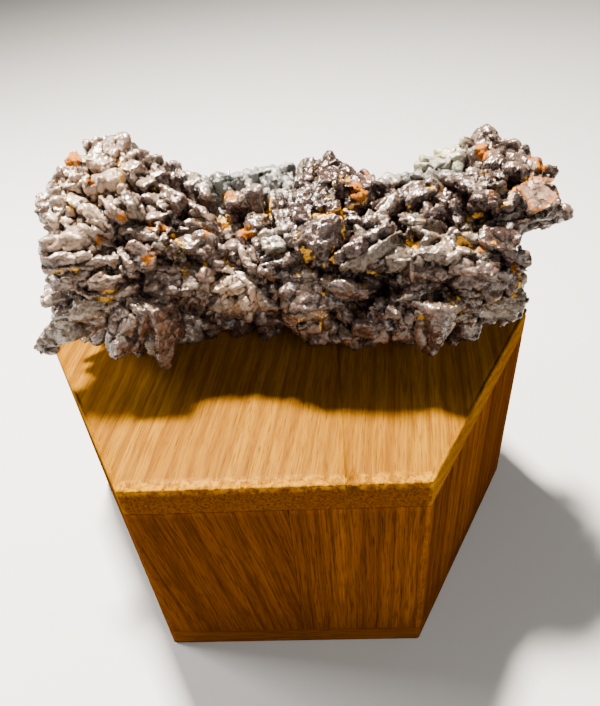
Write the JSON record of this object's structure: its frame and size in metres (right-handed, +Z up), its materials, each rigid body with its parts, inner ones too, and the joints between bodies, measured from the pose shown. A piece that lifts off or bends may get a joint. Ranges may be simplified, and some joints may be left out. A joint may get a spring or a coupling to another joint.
{
  "type": "crystal mineral specimen on a hexagonal wooden block",
  "caption": "Elongated cluster of dark intergrown iron-oxide crystals lying across a hexagonal hardwood display block.",
  "frame": {"origin": "centre of the wooden block's underside, on the surface it stands on", "axes": "+Z up, +X along the stone and along the block's front edge, -Y towards the block's front face"},
  "size_m": [0.1024, 0.0866, 0.0883],
  "materials": {
    "stone": "dark purple-brown iron oxide crystals with a satin metallic sheen, ochre dust in the crevices and rusty tips",
    "top_wood": "satin varnished golden-brown hardwood, grain running front to back",
    "body_wood": "satin varnished darker brown hardwood, streaked vertical and slanting grain"
  },
  "bodies": {
    "root": {"prophecy_stone": "stone", "stand_top_left": "top_wood", "stand_top_right": "top_wood", "stand_body_left": "body_wood", "stand_body_right": "body_wood", "stand_bottom": "body_wood"}
  },
  "joints": []
}
